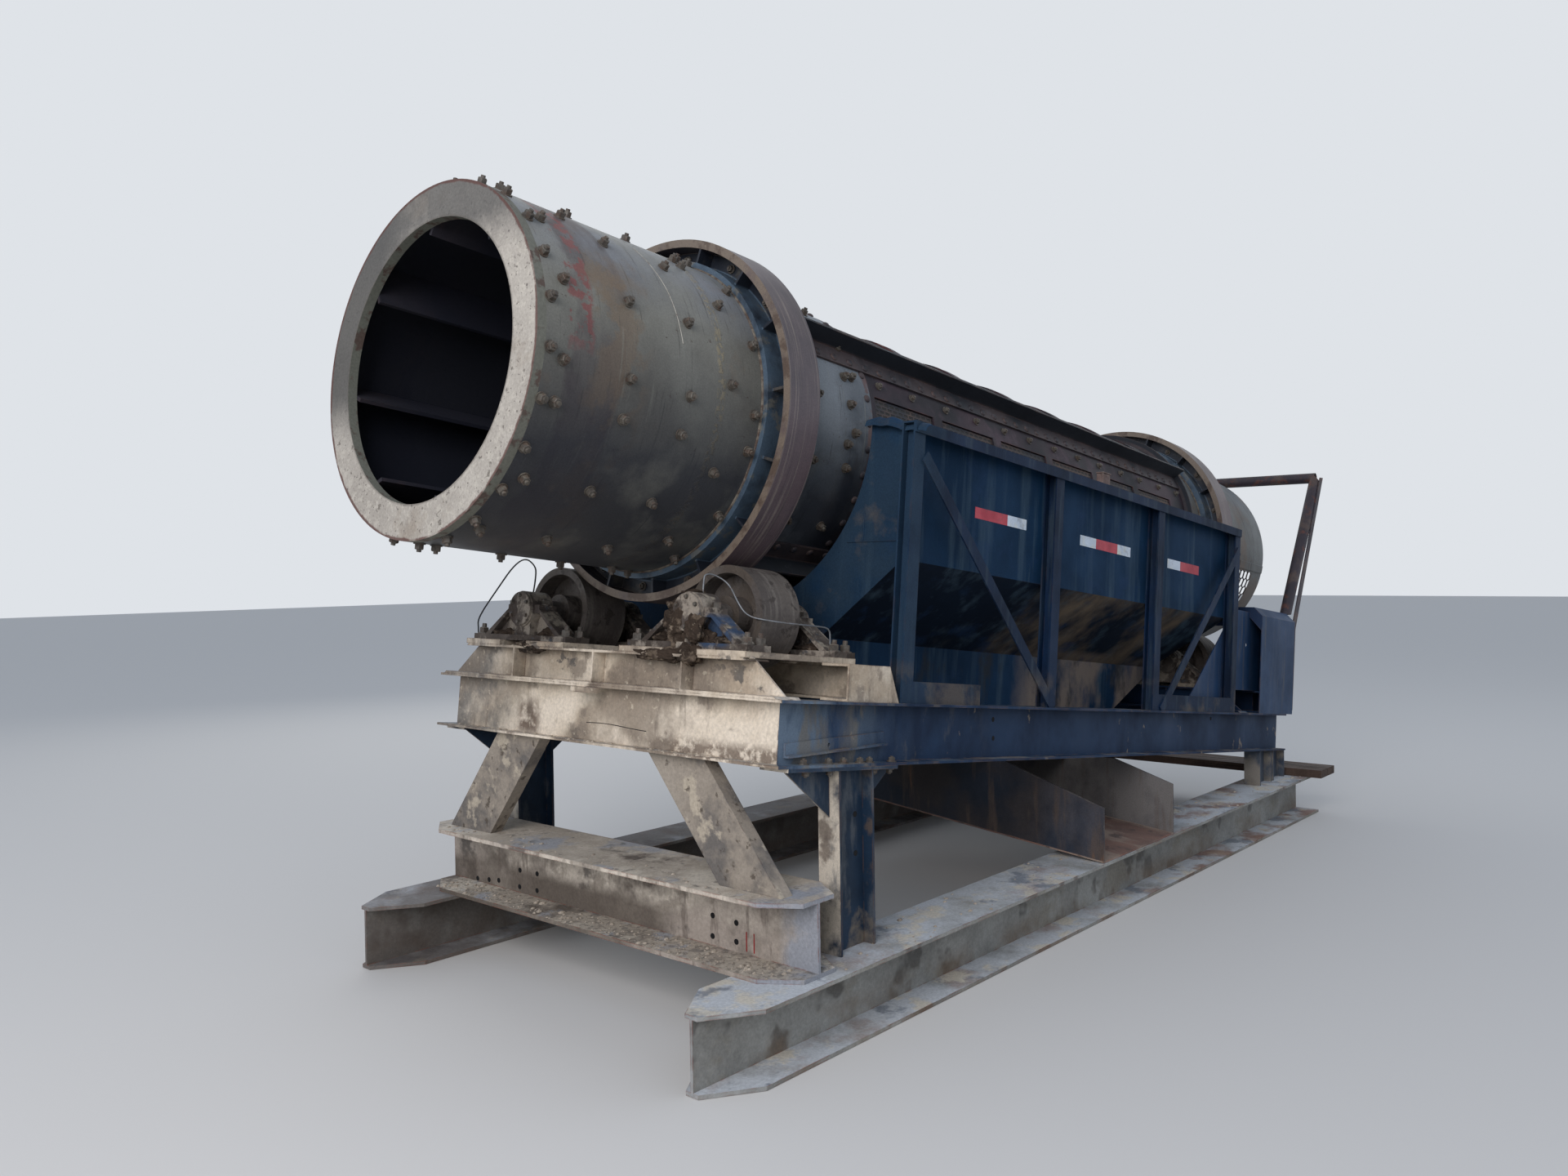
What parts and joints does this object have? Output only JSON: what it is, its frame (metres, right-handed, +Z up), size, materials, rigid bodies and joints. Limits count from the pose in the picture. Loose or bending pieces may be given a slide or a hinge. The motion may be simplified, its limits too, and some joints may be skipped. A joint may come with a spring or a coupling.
{
  "type": "trommel screen",
  "caption": "Trommel screen: a tilted rotating drum on rollers, over a hopper and side chute, carried on a skid frame.",
  "frame": {"origin": "on the floor, midway between the feed end and the discharge end, on the middle plane", "axes": "+X along the drum towards the discharge, +Y towards the far side, +Z up"},
  "size_m": [7.3992, 2.7, 3.3748],
  "materials": {
    "base_steel": "worn paint under dried mud and rust",
    "deck_paint": "dark blue paint, worn to rust at the edges",
    "deck_mud": "paint under dried mud",
    "bearing_iron": "cast iron under dried mud and grease",
    "roller_steel": "rolled steel under dried mud",
    "feed_ring_steel": "bare steel, pitted and dusty",
    "drum_paint": "grey green paint, scratched and dusty",
    "lifter_steel": "bare steel, rusty",
    "screen_steel": "perforated steel, dusty",
    "screen_frame_paint": "red primer worn to rust",
    "plank_wood": "weathered dark timber",
    "stringer_paint": "dark blue paint, chipped",
    "tyre_steel": "rolled steel, rubbed and rusty",
    "hopper_paint": "dark blue paint, dusty",
    "chute_rust": "worn paint, rusty and dusty",
    "hoop_rust": "worn paint over rust"
  },
  "bodies": {
    "frame": {"beam_patch": "deck_paint", "chute_back_wall": "chute_rust", "chute_floor": "chute_rust", "chute_front_wall": "chute_rust", "chute_rear_wall": "chute_rust", "deck_beam_far": "deck_paint", "deck_beam_near": "deck_paint", "deck_front_beam": "deck_mud", "deck_rear_beam": "deck_paint", "front_bearing_pads": "deck_mud", "front_bearings_far": "bearing_iron", "front_bearings_near": "bearing_iron", "front_braces": "deck_mud", "front_legs": "base_steel", "front_roller_base": "deck_mud", "hoop_bars": "hoop_rust", "hoop_cross_pipe": "hoop_rust", "hoop_legs": "hoop_rust", "hopper_frame_far": "hopper_paint", "hopper_frame_near": "hopper_paint", "hopper_front_plate": "hopper_paint", "hopper_rear_plate": "hopper_paint", "hopper_side_far": "hopper_paint", "hopper_side_near": "hopper_paint", "hopper_ties": "hopper_paint", "lower_cross_beam": "base_steel", "rear_bearing_pads": "deck_mud", "rear_bearings_far": "bearing_iron", "rear_bearings_near": "bearing_iron", "rear_guard_far": "hopper_paint", "rear_guard_near": "hopper_paint", "rear_legs": "base_steel", "rear_planks": "plank_wood", "rear_roller_base": "deck_mud", "skid_far": "base_steel", "skid_near": "base_steel", "trough_floors": "hopper_paint"},
    "drum": {"feed_ring": "feed_ring_steel", "feed_shell": "drum_paint", "lifters": "lifter_steel", "screen_shell": "screen_steel", "stringers": "stringer_paint", "screen_end_flange": "stringer_paint", "discharge_shell": "drum_paint", "discharge_mesh": "screen_steel", "screen_frame": "screen_frame_paint", "front_tyre": "tyre_steel", "rear_tyre": "tyre_steel"},
    "front_roller_near_shaft": {"front_roller_near": "roller_steel"},
    "front_roller_far_shaft": {"front_roller_far": "roller_steel"},
    "rear_roller_near_shaft": {"rear_roller_near": "roller_steel"},
    "rear_roller_far_shaft": {"rear_roller_far": "roller_steel"}
  },
  "joints": [
    {"name": "drum_spin", "type": "hinge", "parent": "frame", "child": "drum", "pos_m": [-0.12159, 0, 2.28586], "axis": [0.9939, 0, -0.1101], "continuous": true},
    {"name": "front_roller_near_spin", "type": "hinge", "parent": "frame", "child": "front_roller_near_shaft", "pos_m": [-2.43356, -0.55912, 1.64167], "axis": [0.9939, 0, -0.1101], "continuous": true},
    {"name": "front_roller_far_spin", "type": "hinge", "parent": "frame", "child": "front_roller_far_shaft", "pos_m": [-2.43356, 0.55912, 1.64167], "axis": [0.9939, 0, -0.1101], "continuous": true},
    {"name": "rear_roller_near_spin", "type": "hinge", "parent": "frame", "child": "rear_roller_near_shaft", "pos_m": [2.2836, -0.55912, 1.11922], "axis": [0.9939, 0, -0.1101], "continuous": true},
    {"name": "rear_roller_far_spin", "type": "hinge", "parent": "frame", "child": "rear_roller_far_shaft", "pos_m": [2.2836, 0.55912, 1.11922], "axis": [0.9939, 0, -0.1101], "continuous": true}
  ],
  "couplings": [
    {"joint": "front_roller_near_spin", "follows": "drum_spin", "ratio": -3.8707},
    {"joint": "front_roller_far_spin", "follows": "drum_spin", "ratio": -3.8707},
    {"joint": "rear_roller_near_spin", "follows": "drum_spin", "ratio": -3.8707},
    {"joint": "rear_roller_far_spin", "follows": "drum_spin", "ratio": -3.8707}
  ]
}
